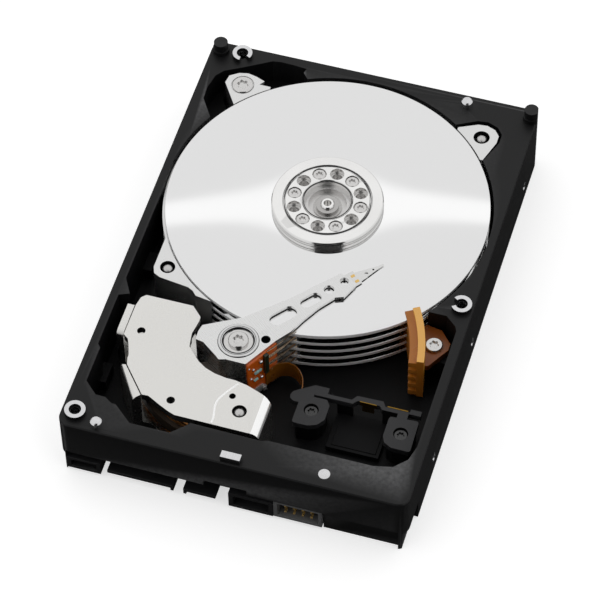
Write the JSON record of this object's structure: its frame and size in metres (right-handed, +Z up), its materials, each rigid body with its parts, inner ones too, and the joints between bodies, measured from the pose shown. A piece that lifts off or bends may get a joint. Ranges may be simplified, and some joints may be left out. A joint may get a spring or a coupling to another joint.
{
  "type": "hard disk drive",
  "caption": "Hard disk drive with its cover off: black casting, mirror discs on a spindle, swinging head actuator, ramp, magnets, circuit board and SATA connector.",
  "frame": {"origin": "bottom centre of the drive", "axes": "+X to the right seen from above with the connectors in front, +Y from the connector end to the disc end, +Z up through the deck"},
  "size_m": [0.1016, 0.147, 0.0261],
  "materials": {
    "casting": "satin black",
    "machined": "bright machined",
    "disc": "mirror polished",
    "clamp": "polished",
    "steel": "satin",
    "nickel": "nickel plated",
    "magnet": "nickel plated",
    "alloy": "machined",
    "copper": "enamelled wire",
    "gold": "gold plated",
    "black_plastic": "matte",
    "grey_plastic": "matte",
    "amber_plastic": "glossy",
    "frame_plastic": "matte",
    "polyimide": "glossy",
    "board": "solder mask",
    "ceramic": "ground",
    "foam": "foam",
    "bumper": "matte"
  },
  "bodies": {
    "base": {"base_casting": "casting", "locating_pins": "machined", "spindle_shaft": "steel", "stator_core": "steel", "stator_coils": "copper", "bearing_inner_races": "steel", "pivot_shaft": "steel", "pivot_screw": "nickel", "magnet_plate_top": "nickel", "magnet_plate_bottom": "nickel", "magnet_top": "magnet", "magnet_bottom": "magnet", "magnet_standoff": "steel", "magnet_screw": "nickel", "crash_stops": "bumper", "separator_screw": "nickel", "load_ramp": "amber_plastic", "ramp_screw": "nickel", "flex_bracket": "grey_plastic", "bracket_screws": "nickel", "flex_contacts": "gold", "preamp_header": "black_plastic", "flex_cable": "polyimide", "pcb": "board", "controller_chip": "ceramic", "memory_chip": "ceramic", "motor_driver_chip": "ceramic", "pcb_screws": "steel", "foam_pad": "foam", "sata_connector": "black_plastic", "sata_contacts": "gold", "jumper_block": "grey_plastic", "jumper_pins": "gold", "separator_plate_1": "alloy", "separator_plate_2": "alloy", "separator_plate_3": "alloy", "separator_plate_4": "alloy"},
    "spindle": {"spindle_hub": "machined", "bearing_sleeve": "steel", "rotor_magnet": "magnet", "platter_1": "disc", "platter_2": "disc", "platter_3": "disc", "platter_4": "disc", "platter_5": "disc", "platter_spacers": "machined", "disc_clamp": "clamp", "clamp_screws": "clamp"},
    "actuator": {"actuator_block": "alloy", "pivot_sleeve": "steel", "bearing_outer_races": "steel", "bearing_balls": "steel", "coil_frame": "frame_plastic", "voice_coil": "copper", "suspensions": "steel", "head_sliders": "ceramic", "actuator_flex": "polyimide", "preamp_chip": "ceramic"}
  },
  "joints": [
    {"name": "spindle_spin", "type": "hinge", "parent": "base", "child": "spindle", "pos_m": [0, 0.0218, 0.012], "axis": [0, 0, 1], "continuous": true},
    {"name": "actuator_swing", "type": "hinge", "parent": "base", "child": "actuator", "pos_m": [-0.01, -0.0332, 0.014], "axis": [0, 0, 1], "range_deg": [-36, 8.4], "deforming": ["flex_cable"]}
  ]
}
